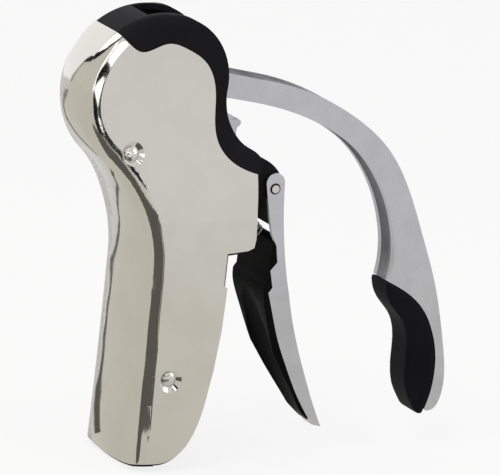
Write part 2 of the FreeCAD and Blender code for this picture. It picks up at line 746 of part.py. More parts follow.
def coil(radius, wire, pitch, low, high):
    """Round wire wound right-handed about the Z axis; its angle depends only on height."""
    path = Part.makeHelix(pitch, high - low, radius)
    turn = 360.0 * low / pitch
    start = FreeCAD.Vector(radius, 0, 0)
    rise = FreeCAD.Vector(0, 2 * math.pi * radius, pitch)
    ring = Part.Wire([Part.Circle(start, rise, wire).toShape()])
    solid = Part.Wire(path.Edges).makePipeShell([ring], True, True)
    solid.rotate(origin, up, turn % 360.0)
    solid.translate(FreeCAD.Vector(0, 0, low))
    return solid


def worm():
    """Open spiral worm with its hub and shank."""
    tip = worm_tip_z + worm_point
    spiral = coil(worm_coil_radius, worm_wire, worm_pitch, tip, worm_hub_z + worm_point_radius)
    angle = 2 * math.pi * tip / worm_pitch
    end = FreeCAD.Vector(worm_coil_radius * math.cos(angle), worm_coil_radius * math.sin(angle), tip)
    round_speed = 2 * math.pi * worm_coil_radius
    down = FreeCAD.Vector(round_speed * math.sin(angle), -round_speed * math.cos(angle), -worm_pitch)
    point = Part.makeCone(worm_wire, worm_point_radius, worm_point, end, down)
    low = worm_hub_z
    hub = post(worm_hub_radius, low, low + worm_hub_height)
    shank = post(shank_radius, low, carrier_z + carrier_height + shank_end)
    return spiral.fuse(point).fuse(hub).fuse(shank)


def worm_retainer():
    """Collar and washer that hold the worm's shank up in the carrier."""
    low = carrier_z + carrier_height + retainer_gap
    rest = low + washer_height + retainer_gap
    collar = post(collar_radius, rest, rest + collar_height)
    washer = post(washer_radius, low, low + washer_height)
    washer = washer.cut(post(shank_radius + running_fit, 0, beyond))
    return collar.cut(post(shank_radius, 0, beyond)), washer


def worm_nut():
    """Plastic nut with a helical channel; the worm turns itself through it."""
    wing = nut_wing_width / 2
    nut = union([post(nut_radius, nut_z, nut_z + nut_height),
                 box(-wing, wing, -nut_wing, nut_wing, nut_z, nut_z + nut_height - nut_step)])
    nut = nut.common(post(nut_wing, 0, beyond))
    reach = worm_pitch / 2 + margin
    thread = coil(worm_coil_radius, worm_wire + worm_channel, worm_pitch, nut_z - reach,
                  nut_z + nut_height + reach)
    return nut.cut(thread)


# ---- nut latch ----

def nut_latch():
    """Pawl over the nut; its tail reaches down to where the bottle's lip arrives."""
    hook_low = nut_z + nut_height + 0.2
    hook_x = -nut_radius + 1.2
    boss = pawl_boss
    outline = [(pawl_x - boss, pawl_z), (pawl_x - boss + 0.1, pawl_z + 2.0),
               (pawl_x + 0.5, hook_low + 2.4), (hook_x, hook_low + 1.8), (hook_x, hook_low),
               (pawl_x + 2.6, hook_low - 0.4), (pawl_x + boss, pawl_z + 2.0),
               (pawl_x + boss + 0.2, pawl_z), (pawl_x + 2.6, lip_height - 0.4),
               (pawl_x + 1.2, lip_height - 0.4), (pawl_x - boss + 0.6, pawl_z - 1.7),
               (pawl_x - boss, pawl_z)]
    pawl = slab(chain([place(*p) for p in outline]), latch_half)
    return pawl.cut(rod(pawl_pin_radius + running_fit, pawl_x, pawl_z, -beyond, beyond))


def latch_spring():
    """Torsion spring on the pawl pin, beside the pawl."""
    low = latch_wire + 0.1
    turns = coil(latch_coil_radius, latch_wire, latch_pitch, low, low + latch_coil_length)
    turns.rotate(origin, FreeCAD.Vector(1, 0, 0), -90)
    turns.translate(FreeCAD.Vector(pawl_x, latch_half + 0.2, pawl_z))
    return turns


# ---- clamp trigger ----

def trigger_outline():
    """Side walls of the trigger, with the two steps in their front edge."""
    edges = [smooth(trigger_back).toShape(), smooth(trigger_front).toShape(),
             arc(trigger_x, crown_z, crown_radius, 0.0, 180.0)]
    edges += chain([place(*trigger_back[-1]), place(*trigger_front[0])])
    steps = [trigger_front[-1]] + trigger_steps + [(trigger_x - crown_radius, crown_z)]
    return edges + chain([place(*point) for point in steps])


def trigger_width(inset):
    """The trigger from the front: straight at the top, tapering to the tip."""
    half = trigger_half - inset
    top = crown_z + 2 * crown_radius
    edges = []
    for side in (-1, 1):
        taper = [(side * (half - narrower), z) for z, narrower in trigger_taper]
        edges.append(smooth(taper).toShape())
        edges.append(line(place(side * half, top), place(*taper[0])))
    low, narrower = trigger_taper[-1]
    edges.append(line(place(narrower - half, low), place(half - narrower, low)))
    edges.append(line(place(-half, top), place(half, top)))
    front = slab(edges, beyond)
    front.rotate(origin, up, 90)
    return front


def trigger_web_line(depth):
    """Inner face of the trigger's back, from below the pin to the solid tip."""
    return shifted(trigger_back, -depth)[1:-1]


def clamp_trigger():
    """Pressed steel channel: two side walls, and a back with a window that starts below the pin."""
    body = slab(trigger_outline(), beyond).common(trigger_width(0.0))
    inner = trigger_web_line(trigger_wall)
    over_x, over_z = 2 * trigger_x, crown_z + 2 * crown_radius
    hollow = [smooth(inner).toShape()]
    tip = place(inner[-1][0] - 2 * margin, 0.0)
    hollow += chain([place(*inner[-1]), tip, place(0.0, splay_top), place(0.0, over_z),
                     place(over_x, over_z), place(over_x, web_top),
                     place(inner[0][0] + margin, web_top), place(*inner[0])])
    body = body.cut(slab(hollow, beyond).common(trigger_width(trigger_wall)))
    half = trigger_half - trigger_wall
    body = body.cut(box(trigger_x, over_x, -half, half, window_low, window_high))
    return body.cut(rod(trigger_pin_radius + running_fit, trigger_x, trigger_z, -beyond, beyond))


def opened(shape):
    """Turns a shape from the clamp's closed position back to its open rest position."""
    shape.rotate(place(trigger_x, trigger_z), along_y, -clamp_swing)
    return shape


def jaw_insert():
    """Black clamp jaw that fills the trigger's channel, hollowed for the bottle's neck."""
    inner = trigger_web_line(trigger_wall + jaw_fit)
    edges = chain([place(*point) for point in jaw_front])
    edges.append(smooth(jaw_face).toShape())
    edges += chain([place(*jaw_face[-1]), place(*inner[-1])])
    edges.append(smooth(inner[::-1]).toShape())
    edges.append(line(place(*inner[0]), place(*jaw_front[0])))
    jaw = slab(edges, beyond).common(trigger_width(jaw_fit))
    x, z = spring_finish
    seat_low = place(x - 1.5, z - 1.7)
    seat_high = place(x + 1.6, z + 1.4)
    above = chain([place(*jaw_front[0]), seat_low, seat_high, place(2 * trigger_x, seat_high.z),
                   place(2 * trigger_x, crown_z), place(0.0, crown_z), place(0.0, jaw_front[0][1]),
                   place(*jaw_front[0])])
    jaw = jaw.cut(slab(above, beyond))
    jaw = jaw.cut(opened(post(neck_radius + jaw_fit, -beyond, beyond)))
    walls = slab(trigger_outline(), beyond).cut(trigger_width(trigger_wall + jaw_fit))
    return jaw.cut(walls)


def trigger_spring():
    """Compression spring that opens the clamp."""
    length = math.hypot(spring_finish[0] - spring_start[0], spring_finish[1] - spring_start[1])
    end = spring_wire + 0.1
    return on_spring_axis(coil(spring_radius, spring_wire, spring_pitch, end, length - end))


def build():
    os.makedirs("parts", exist_ok=True)
    plates = plate_outline()
    outside = envelope(0.0, 0.0)
    inside = envelope(sheet, sheet)
    skin = sheet + skin_gap
    frame_body = envelope(skin, skin)
    saddle_inset = skin + liner_wall + skin_gap
    saddle_body = envelope(skin + liner_wall, skin + liner_wall)
    near_frame = frame_half(frame_body, plates)
    retainer, washer = worm_retainer()
    save("outer_shell", outer_shell(outside, inside, plates))
    save("top_cap", top_cap(envelope(skin, cap_set), frame_body, plates))
    save("frame_right", near_frame)
    save("frame_left", mirrored(near_frame))
    save("frame_posts", frame_posts())
    save("frame_screws", frame_screws(posts))
    save("hinge_screws", frame_screws([hinge_screw]))
    save("hinge_block", hinge_block())
    save("lever_stop", lever_stop())
    save("socket_liner", socket_liner(frame_body, saddle_body, plates))
    save("socket_saddle", socket_saddle(envelope(saddle_inset, saddle_inset)))
    save("lip_ring", lip_ring())
    save("shell_rivets", Part.makeCompound([s for x, z in rivets for s in both(rivet(x, z))]))
    save("lever", lever())
    save("lever_grip", lever_grip())
    save("lever_pin", rod(lever_pin_radius, hub_x, hub_z, -pin_reach, pin_reach))
    spacer = rod(spacer_radius, hub_x, hub_z, -wall_y, -lever_half - 0.1)
    spacer = spacer.cut(rod(lever_pin_radius, hub_x, hub_z, -beyond, beyond))
    save("lever_spacers", Part.makeCompound(both(spacer)))
    save("compound_gear", compound_gear())
    save("gear_axle", rod(axle_radius, gear_x, gear_z, -pin_reach, pin_reach))
    save("carrier", carrier())
    save("worm_bush", worm_bush())
    save("worm", worm())
    save("worm_collar", retainer)
    save("worm_washer", washer)
    save("worm_nut", worm_nut())
    save("nut_latch", nut_latch())
    save("latch_pin", rod(pawl_pin_radius, pawl_x, pawl_z, -pin_reach, pin_reach))
    save("latch_spring", latch_spring())
    save("clamp_trigger", clamp_trigger())
    save("jaw_insert", jaw_insert())
    reach = trigger_half + pin_proud
    save("trigger_pin", rod(trigger_pin_radius, trigger_x, trigger_z, -reach, reach))
    save("trigger_spring", trigger_spring())


build()
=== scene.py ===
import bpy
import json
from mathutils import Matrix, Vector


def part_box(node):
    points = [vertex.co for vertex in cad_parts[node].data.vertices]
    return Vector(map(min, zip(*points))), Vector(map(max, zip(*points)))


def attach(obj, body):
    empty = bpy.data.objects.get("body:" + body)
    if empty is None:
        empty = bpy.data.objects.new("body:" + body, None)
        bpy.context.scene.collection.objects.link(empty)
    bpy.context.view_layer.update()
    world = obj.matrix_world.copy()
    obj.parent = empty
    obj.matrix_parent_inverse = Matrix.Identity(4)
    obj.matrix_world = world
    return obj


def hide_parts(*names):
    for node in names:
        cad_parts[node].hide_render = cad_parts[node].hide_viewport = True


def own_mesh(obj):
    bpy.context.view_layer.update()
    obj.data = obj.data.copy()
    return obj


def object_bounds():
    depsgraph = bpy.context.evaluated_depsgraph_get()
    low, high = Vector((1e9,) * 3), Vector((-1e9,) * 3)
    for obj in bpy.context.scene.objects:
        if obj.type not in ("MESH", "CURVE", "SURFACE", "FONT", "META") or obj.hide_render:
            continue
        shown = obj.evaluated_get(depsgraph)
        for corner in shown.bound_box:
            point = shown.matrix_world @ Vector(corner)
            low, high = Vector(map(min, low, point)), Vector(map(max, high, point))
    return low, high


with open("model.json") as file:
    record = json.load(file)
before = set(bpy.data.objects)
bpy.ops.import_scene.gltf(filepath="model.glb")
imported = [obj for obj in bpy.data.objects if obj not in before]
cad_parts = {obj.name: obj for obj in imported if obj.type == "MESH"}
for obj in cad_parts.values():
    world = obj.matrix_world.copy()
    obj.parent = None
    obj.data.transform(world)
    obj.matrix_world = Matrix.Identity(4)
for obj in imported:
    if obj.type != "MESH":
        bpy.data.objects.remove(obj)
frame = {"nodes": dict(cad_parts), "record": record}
cad_box = [list(corner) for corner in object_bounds()]

import json
import math

import bmesh
import bpy
from mathutils import Matrix, Vector

# The whole tool: a lever corkscrew of steel, zinc and nylon that stands on the lip of its bottle
# socket. It is seen a little from above and from the spine side, through a long leaning lens.
view_azimuth = math.radians(28.0)
view_elevation = math.radians(14.0)
view_lean = math.radians(6.0)
view_distance = 3.0
view_width = 0.19608          # how much of the scene the view spans, in metres
view_middle = Vector((0.03436, 0.0, 0.08512))
sensor_width = 36.0           # millimetres, as the lens is

toward_viewer = Vector((-math.sin(view_azimuth) * math.cos(view_elevation),
                        -math.cos(view_azimuth) * math.cos(view_elevation),
                        math.sin(view_elevation)))
level = Vector((math.cos(view_azimuth), -math.sin(view_azimuth), 0.0))
upright = toward_viewer.cross(level)
across = level * math.cos(view_lean) + upright * math.sin(view_lean)
above = toward_viewer.cross(across)
camera = bpy.data.objects.new("camera", bpy.data.cameras.new("camera"))
camera.data.sensor_width = sensor_width
camera.data.lens = sensor_width * view_distance / view_width
camera.data.clip_end = 20.0
camera.matrix_world = Matrix.Translation(view_middle + toward_viewer * view_distance) @ Matrix(
    (across, above, toward_viewer)).transposed().to_4x4()
bpy.context.scene.collection.objects.link(camera)
bpy.context.scene.camera = camera
bpy.context.scene.view_settings.view_transform = "Standard"


# Floor: a tabletop of pale laminate that fades into white. Mirrors see a painted shade on it, darker
# and warmer close by and ahead of the spine, and nearly as bright as the backdrop further off.
class Paint:
    """A socket of a material's nodes: arithmetic on paints adds the Math nodes that do it."""

    def __init__(self, tree, socket=None):
        self.tree = tree
        self.socket = socket

    def node(self, kind, settings=None, inputs=None, output=0):
        """Adds a node of this kind, makes its settings, then fills or links its sockets."""
        made = self.tree.nodes.new("ShaderNode" + kind)
        for name, value in (settings or {}).items():
            setattr(made, name, value)
        for name, value in (inputs or {}).items():
            socket = made.inputs[name]
            if isinstance(value, Paint):
                self.tree.links.new(value.socket, socket)
            else:
                socket.default_value = value
        return Paint(self.tree, made.outputs[output])

    def math(self, operation, first, second=0.5):
        return self.node("Math", {"operation": operation}, {0: first, 1: second})

    def __add__(self, other):
        return self.math("ADD", self, other)

    __radd__ = __add__

    def __sub__(self, other):
        return self.math("SUBTRACT", self, other)

    def __rsub__(self, other):
        return self.math("SUBTRACT", other, self)

    def __mul__(self, other):
        return self.math("MULTIPLY", self, other)

    __rmul__ = __mul__

    def __truediv__(self, other):
        return self.math("DIVIDE", self, other)

    def __rtruediv__(self, other):
        return self.math("DIVIDE", other, self)

    def __pow__(self, other):
        return self.math("POWER", self, other)

    def __rpow__(self, other):
        return self.math("POWER", other, self)

    def step(self, low, high, to_low=0.0, to_high=1.0):
        """Eases from to_low to to_high while the value goes from low to high."""
        return self.node("MapRange", {"interpolation_type": "SMOOTHSTEP"},
                         {"Value": self, "From Min": low, "From Max": high,
                          "To Min": to_low, "To Max": to_high})

    def mix(self, first, second):
        """Colour first where the value is 0, second where it is 1."""
        factor_slot, first_slot, second_slot, colour_output = 0, 6, 7, 2
        inputs = {factor_slot: self}
        for slot, colour in ((first_slot, first), (second_slot, second)):
            inputs[slot] = colour if isinstance(colour, Paint) else (*colour, 1.0)
        return self.node("Mix", {"data_type": "RGBA"}, inputs, colour_output)


class Finish(Paint):
    """A material on the object's own coordinates, in metres, with one Principled shader."""

    def __init__(self, name, **constants):
        self.material = bpy.data.materials.new(name)
        self.material.use_nodes = True
        super().__init__(self.material.node_tree)
        self.shader = self.tree.nodes["Principled BSDF"]
        for socket, value in constants.items():
            self.shader.inputs[socket.replace("_", " ")].default_value = value
        self.spot = self.node("TexCoord", output="Object")

    def along(self, axis, vector=None):
        """The part along X, Y or Z of the object's coordinates, or of another vector."""
        return self.node("SeparateXYZ", None, {0: vector or self.spot}, axis)

    def stretched(self, x, y, z):
        """The object's coordinates, scaled along each axis."""
        return self.node("VectorMath", {"operation": "MULTIPLY"}, {0: self.spot, 1: (x, y, z)})

    def noise(self, scale, detail=4.0, roughness=0.55, spot=None):
        """Noise of so many cells per metre."""
        return self.node("TexNoise", None, {"Vector": spot or self.spot, "Scale": scale,
                                            "Detail": detail, "Roughness": roughness})

    def bump(self, height, depth, strength=1.0):
        """Surface normal of a relief this deep, in metres."""
        return self.node("Bump", None, {"Height": height, "Distance": depth, "Strength": strength})

    def feed(self, **channels):
        """Links paints to the shader's own sockets."""
        for socket, paint in channels.items():
            self.tree.links.new(paint.socket, self.shader.inputs[socket.replace("_", " ")])
        return self.material


def dress(material, *nodes):
    """Gives CAD pieces or made pieces one material."""
    for name in nodes:
        piece = frame["nodes"][name] if isinstance(name, str) else name
        piece.data.materials.clear()
        piece.data.materials.append(material)


def staged(name, points, faces=None):
    """A sheet of the studio through these points, in one face unless faces are given."""
    mesh = bpy.data.meshes.new(name)
    mesh.from_pydata(points, [], faces or [range(len(points))])
    sheet = bpy.data.objects.new(name, mesh)
    bpy.context.scene.collection.objects.link(sheet)
    return sheet


floor_size = 6.0
floor_level = cad_box[0][2] - 0.0002
# Painted shade for mirrors: these tones darken the tabletop as mirrors see it, close by and ahead of the
# spine.
spine_tone = (0.74, 0.72, 0.665)      # what mirrors see ahead of the spine
plate_tone = (0.775, 0.76, 0.71)      # beside the plates, close by
distant_tone = (0.89, 0.885, 0.885)   # beside the plates, far off
washed_out = 0.82                     # how far the tabletop fades into white

floor = staged("floor", [(x * floor_size, y * floor_size, floor_level)
                         for x, y in ((-1, -1), (1, -1), (1, 1), (-1, 1))])
tabletop = Finish("tabletop", Roughness=0.85, Specular_IOR_Level=0.1)
tabletop.feed(Base_Color=tabletop.noise(60.0).mix((0.87, 0.865, 0.85), (0.90, 0.895, 0.885)))
seen = tabletop.node("LightPath", output="Is Camera Ray")
mirrored = tabletop.node("LightPath", output="Is Glossy Ray")
away = tabletop.node("VectorMath", {"operation": "LENGTH"}, {0: tabletop.spot}, "Value")
beside = (tabletop.along("X") / away).step(-0.25, 0.3)
# Painted shade that only mirrors see: darker and warmer close by and ahead of the spine.
shade = beside.mix(spine_tone, away.step(0.08, 0.62).mix(plate_tone, distant_tone))
white = tabletop.node("Emission", None, {"Color": (1.0, 1.0, 1.0, 1.0), "Strength": 1.0})
painted_mirror_shade = tabletop.node("Emission", None, {"Color": shade, "Strength": 1.0})
laminate = Paint(tabletop.tree, tabletop.shader.outputs[0])
surface = tabletop.node("MixShader", None, {0: seen * washed_out, 1: laminate, 2: white})
surface = tabletop.node("MixShader", None, {0: mirrored, 1: surface, 2: painted_mirror_shade})
tabletop.tree.links.new(surface.socket, tabletop.tree.nodes["Material Output"].inputs[0])
dress(tabletop.material, floor)

# Light: a white backdrop of paper all round, one large soft lamp high on the spine side and a
# weaker one opposite it. The paper looks whiter than the light that it gives.
paper_light = 0.65            # what the paper gives to matt surfaces
extra_in_view = 0.35
extra_in_mirrors = 0.24

world = bpy.data.worlds.new("studio")
world.use_nodes = True
bpy.context.scene.world = world
sky = Paint(world.node_tree)
in_view = sky.node("LightPath", output="Is Camera Ray")
in_mirrors = sky.node("LightPath", output="Is Glossy Ray")
through_glass = sky.node("LightPath", output="Is Transmission Ray")
backdrop = (sky.math("MAXIMUM", in_view, through_glass) * extra_in_view
            + in_mirrors * extra_in_mirrors + paper_light)
ambient = world.node_tree.nodes["Background"]
world.node_tree.links.new(backdrop.socket, ambient.inputs["Strength"])
ambient.inputs["Color"].default_value = (1.0, 1.0, 1.0, 1.0)


def softbox(name, place, width, power, target=(0.0, 0.0, 0.08)):
    """A square area lamp that faces the object."""
    lamp = bpy.data.objects.new(name, bpy.data.lights.new(name, "AREA"))
    lamp.data.size = width
    lamp.data.energy = power
    lamp.location = place
    lamp.rotation_euler = (Vector(target) - Vector(place)).to_track_quat("-Z", "Y").to_euler()
    bpy.context.scene.collection.objects.link(lamp)


softbox("key", place=(-0.7, -0.5, 1.1), width=0.7, power=5.0)
softbox("fill", place=(0.9, -0.6, 0.7), width=0.6, power=2.0)

# Cloths: dark cotton that lies on the table before the near fold and behind the tool, with a grey
# card beyond it. Only mirrors show them, as the long dark streaks in polished steel.
cloth = Finish("dark cloth", Roughness=1.0, Specular_IOR_Level=0.0)
cloth.feed(Base_Color=cloth.noise(400.0).mix((0.13, 0.122, 0.11), (0.17, 0.16, 0.145)))


def glowing(name, strength, dark, light, scale=9.0):
    """A card that is lit from behind, a little unevenly."""
    finish = Finish(name, Base_Color=(0.0, 0.0, 0.0, 1.0), Emission_Strength=strength)
    finish.feed(Emission_Color=finish.noise(scale).mix(dark, light))
    return finish


def unseen(name, finish, points, faces=None):
    """A sheet of the studio that only mirrors show."""
    sheet = staged(name, points, faces)
    sheet.visible_camera = False
    sheet.visible_diffuse = False
    sheet.visible_shadow = False
    dress(finish.material, sheet)


def spread(name, outline, lift, finish):
    """A sheet that lies this far above the table, its outline as (x, y)."""
    unseen(name, finish, [(x, y, floor_level + lift) for x, y in outline])


dim = glowing("dim card", strength=0.66, dark=(0.98, 0.97, 0.94), light=(1.0, 0.99, 0.97))
near_fold = (-0.0125, -0.0165)
near_outline = [(0.02, 50), (0.07, 46), (0.125, 47), (0.20, 54), (0.24, 52), (0.28, 45), (0.33, 60),
                (0.36, 75), (0.40, 88), (0.45, 98), (0.50, 105), (0.36, 108), (0.20, 108), (0.125, 103),
                (0.105, 84), (0.07, 71), (0.02, 60)]      # distance and bearing from the near fold
spread("near_cloth", [(near_fold[0] - distance * math.cos(math.radians(bearing)),
                       near_fold[1] - distance * math.sin(math.radians(bearing)))
                      for distance, bearing in near_outline], lift=0.001, finish=cloth)
back_edge = [(-0.020, 0.028), (-0.022, 0.10), (-0.030, 0.20), (-0.042, 0.32), (-0.085, 0.38),
             (-0.15, 0.46), (-0.26, 0.62)]
back_cloth_width, back_cloth_flare = 0.004, 0.045
back_cloth_edge = [(x - back_cloth_width - y * back_cloth_flare, y + back_cloth_width)
                   for x, y in back_edge]
spread("back_cloth", back_edge + back_cloth_edge[::-1], lift=0.0015, finish=cloth)
spread("back_card", back_edge + [(-0.56, 1.11), (-0.9, 1.6), (1.2, 1.6), (0.5, 0.6), (0.2, 0.1),
                                 (0.05, 0.04)],
       lift=0.001, finish=dim)

# Cards: black velvet and white card hung round the dome, which give polished steel its bright
# bands, its black leaf and its rim. Only mirrors show them, and bearing 0 is ahead of the spine.
velvet = Finish("black velvet", Roughness=1.0, Specular_IOR_Level=0.0)
velvet.feed(Base_Color=velvet.noise(400.0).mix((0.012, 0.012, 0.013), (0.03, 0.028, 0.03)))
lit = glowing("lit card", strength=1.9, dark=(0.97, 0.98, 1.0), light=(1.0, 1.0, 1.0))
pale = glowing("pale card", strength=1.2, dark=(0.95, 0.97, 1.0), light=(1.0, 1.0, 1.0))
warm = glowing("warm wall", strength=1.0, dark=(0.735, 0.715, 0.66), light=(0.745, 0.725, 0.67), scale=6.0)
dome_fold = Vector((-0.034, -0.019, 0.145))
card_bearing, card_elevation, card_distance = 85, -4, 0.13
millimetre = 0.001


def aimed(bearing, elevation, distance):
    """Step from the dome's fold in a direction: bearing 0 is ahead of the spine, 90 the near side."""
    bearing, elevation = math.radians(bearing), math.radians(elevation)
    return Vector((-math.cos(bearing) * math.cos(elevation), -math.sin(bearing) * math.cos(elevation),
                   math.sin(elevation))) * distance


def card(name, outline, gap, finish):
    """A card close before the dome's near fold, its outline as (across, up) in millimetres."""
    middle = dome_fold + aimed(card_bearing, card_elevation, card_distance + gap)
    facing = aimed(card_bearing, card_elevation, 1.0)
    sideways = Vector((0.0, 0.0, 1.0)).cross(facing).normalized()
    upward = facing.cross(sideways)
    unseen(name, finish, [middle + (sideways * x + upward * y) * millimetre for x, y in outline])


def strip(name, ridge, far_side, distance, finish):
    """A broad card between two lines of (bearing, elevation) that have as many points."""
    count = len(ridge)
    unseen(name, finish, [dome_fold + aimed(*corner, distance) for corner in ridge + far_side],
           [(i, i + 1, count + i + 1, count + i) for i in range(count - 1)])


spine_edge = [(-50, 44), (-36, 30), (-53, 19), (-55, 15), (-56, 11), (-58, 6), (-60, 1), (-65, -7)]
strip("spine_card", spine_edge, [(-130, elevation) for bearing, elevation in spine_edge],
      distance=0.8, finish=pale)
strip("edge_cloth", spine_edge[2:], [(bearing + 1.3, elevation) for bearing, elevation in spine_edge[2:]],
      distance=0.79, finish=cloth)
crest_edge = [(75, 50), (48, 48), (30, 46), (13, 43), (-20, 36), (-36, 31), (-53, 20), (-56, 12)]
strip("crest_card", crest_edge[:6], [(75, 75), (48, 75), (30, 75), (13, 75), (-20, 75), (-50, 75)],
      distance=0.82, finish=lit)
strip("crest_cloth", crest_edge, [(75, 45), (48, 40), (30, 37), (13, 34), (-20, 27), (-38, 22.5), (-50, 16),
                                  (-55, 11)], distance=0.79, finish=velvet)
card("band_card", [(-14, 103), (-25, 88), (-24, 66), (-16, 45), (54, 1), (62, 22)],
     gap=0.0, finish=lit)
card("leaf_cloth", [(-16, 45), (37, 11), (66, -8), (68, -15), (40, -6), (10, 5), (-24, 9), (-63, 5),
                    (-68, 24), (-52, 44)], gap=0.001, finish=velvet)
card("rim_card", [(-77, 169), (-58, 103), (-59, 80), (-75, 56), (-81, 31), (-85, 10), (-94, -7), (-69, -7),
                  (-62, 7), (-56, 25), (-52, 46), (-37, 65), (-33, 84), (-37, 119)], gap=0.004, finish=lit)
card("lens_card", [(10, 5), (38, -7), (46, -12), (40, -20), (30, -27), (20, -32), (5, -28), (-28, -18),
                   (-64, -3), (-30, 6)], gap=0.002, finish=lit)
card("wedge_cloth", [(-66, 0), (-60, -19), (-49, -32), (-35, -49), (-22, -54), (10, -46), (48, -38),
                     (61, -32), (60, -14), (0, 0)], gap=0.003, finish=velvet)
wall_foot = [(bearing, -4) for bearing in range(-66, 67, 12)]
strip("warm_wall", wall_foot, [(bearing, 44) for bearing, elevation in wall_foot],
      distance=0.95, finish=warm)
lever_cloth_top = 0.33
unseen("lever_cloth", velvet, [(0.29, 0.556, floor_level), (0.40, 0.497, floor_level),
                               (0.40, 0.497, lever_cloth_top), (0.29, 0.556, lever_cloth_top)])

# Casing: one sheet of stainless steel, folded over the spine and domed at the top, polished to
# a warm soft mirror. Polishing leaves a fine haze, slow waves in the sheet and a few hairlines.
crown_curve = -7.5            # how the spine falls away to its folds, per metre
wave_depth = 0.0011

polished = Finish("stainless", Metallic=1.0)
haze = polished.noise(700.0, 6.0)
cloudy = polished.noise(45.0, 3.0)
waves = polished.noise(26.0, 2.0)
hairs = polished.noise(1.0, 2.0, spot=polished.stretched(2600.0, 2600.0, 90.0))
across_spine = polished.along("Y")
crown = across_spine * across_spine * crown_curve
polished.feed(
    Base_Color=cloudy.step(0.3, 0.7).mix((0.625, 0.603, 0.555), (0.655, 0.635, 0.592)),
    Roughness=haze.step(0.35, 0.75, to_low=0.06, to_high=0.10) + cloudy.step(0.45, 0.8, to_high=0.03),
    Normal=polished.bump(crown + (waves + hairs * 0.0006 + haze * 0.0012) * wave_depth, depth=1.0))


def casing_sheet():
    """The folded sheet itself, with the few stray corner normals of its seams set right."""
    stray_tilt, wall_tilt = 0.12, 0.1
    sheet = frame["nodes"]["outer_shell"].data
    mesh = sheet.copy()
    normals = [corner.vector.copy() for corner in sheet.corner_normals]
    for face in mesh.polygons:
        for corner in face.loop_indices:
            if abs(normals[corner].z - face.normal.z) > stray_tilt and abs(face.normal.z) < wall_tilt:
                normals[corner].z = face.normal.z
                normals[corner].normalize()
    mesh.normals_split_custom_set(normals)
    piece = bpy.data.objects.new("casing_sheet", mesh)
    bpy.context.scene.collection.objects.link(piece)
    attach(piece, "casing")
    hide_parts("outer_shell")
    return piece


dress(polished.material, casing_sheet())


# Frame, cap, hinge block and socket liner: glass-filled nylon with a fine spark-eroded skin,
# a little shinier where hands have rubbed it. The casing is folded round the frame and riveted.
def softened(name, radius, segments=3):
    """Stands for a CAD piece, with its sharp edges rounded to a radius."""
    merge_distance = 0.000002
    flat_angle, sharp_angle = math.radians(0.6), math.radians(32)
    form = bmesh.new()
    form.from_mesh(frame["nodes"][name].data)
    bmesh.ops.remove_doubles(form, verts=form.verts, dist=merge_distance)
    bmesh.ops.dissolve_limit(form, angle_limit=flat_angle, verts=form.verts, edges=form.edges)
    mesh = bpy.data.meshes.new(name + "_soft")
    form.to_mesh(mesh)
    form.free()
    if "custom_normal" in mesh.attributes:
        mesh.attributes.remove(mesh.attributes["custom_normal"])
    mesh.shade_smooth()
    mesh.set_sharp_from_angle(angle=sharp_angle)
    piece = bpy.data.objects.new(name + "_soft", mesh)
    bpy.context.scene.collection.objects.link(piece)
    edges = piece.modifiers.new("round edges", "BEVEL")
    edges.width = radius
    edges.segments = segments
    edges.limit_method = "ANGLE"
    edges.angle_limit = sharp_angle
    edges.harden_normals = True
    record = frame["record"]
    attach(piece, next(body for body, names in record["behaviour"]["bodies"].items() if name in names))
    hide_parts(name)
    return piece


def moulded(name, dark, light, roughness, grain_scale, depth, shine=0.1):
    """Moulded plastic or rubber: skin grain, slow drift of colour and of roughness between two values."""
    finish = Finish(name, Specular_IOR_Level=shine)
    skin = finish.noise(grain_scale, 5.0)
    drift = finish.noise(60.0, 3.0)
    finish.feed(
        Base_Color=drift.step(0.3, 0.7).mix(dark, light),
        Roughness=drift.step(0.3, 0.75, *roughness) + skin * 0.04,
        Normal=finish.bump(skin, depth))
    return finish.material


dress(moulded("black_plastic", dark=(0.0075, 0.0072, 0.0085), light=(0.010, 0.0098, 0.0115),
              roughness=(0.45, 0.53), grain_scale=2600.0, depth=0.00006, shine=0.05),
      softened("top_cap", radius=0.0012, segments=4), softened("hinge_block", radius=0.0006),
      "frame_right", "frame_left", "socket_liner")

# Saddle: a block of soft black rubber that lines the socket, so that the bottle's neck sits
# without slipping. It is moulded with a dull skin and pressed into the frame.
dress(moulded("black_rubber", dark=(0.008, 0.008, 0.008), light=(0.012, 0.012, 0.012),
              roughness=(0.6, 0.7), grain_scale=1500.0, depth=0.00008),
      "socket_saddle")


# Grip: soft black rubber, moulded into the hollow of the lever's end for the fingers. It has no
# edge at all, so its form is rounded all over.
def rounded(name, cell, rounds):
    """Stands for a CAD piece, with its form remade from small even cells and smoothed."""
    piece = softened(name, radius=0.0003, segments=1)
    piece.modifiers.clear()
    cells = piece.modifiers.new("even cells", "REMESH")
    cells.mode = "VOXEL"
    cells.voxel_size = cell
    cells.use_smooth_shade = True
    rubbed = piece.modifiers.new("rubbed", "SMOOTH")
    rubbed.factor = 0.5
    rubbed.iterations = rounds
    return piece


dress(moulded("grip_rubber", dark=(0.004, 0.004, 0.0055), light=(0.0065, 0.0065, 0.008),
              roughness=(0.5, 0.58), grain_scale=2200.0, depth=0.00006, shine=0.05),
      rounded("lever_grip", cell=0.0005, rounds=26))

# Jaw: a crescent of hard black plastic that presses on the bottle's neck. It is moulded with
# ridges that grip, and snaps into the trigger's channel.
dress(moulded("jaw_plastic", dark=(0.003, 0.003, 0.0035), light=(0.005, 0.005, 0.0055),
              roughness=(0.36, 0.46), grain_scale=1800.0, depth=0.00003, shine=0.02),
      softened("jaw_insert", radius=0.0008))

# Worm nut and lever spacers: white acetal, which is slippery without oil. The nut's channel is
# moulded round the worm's helix, and the spacers keep the lever off the frame.
dress(moulded("white_plastic", dark=(0.74, 0.735, 0.70), light=(0.80, 0.79, 0.76),
              roughness=(0.35, 0.45), grain_scale=1800.0, depth=0.00003),
      "worm_nut", "lever_spacers")


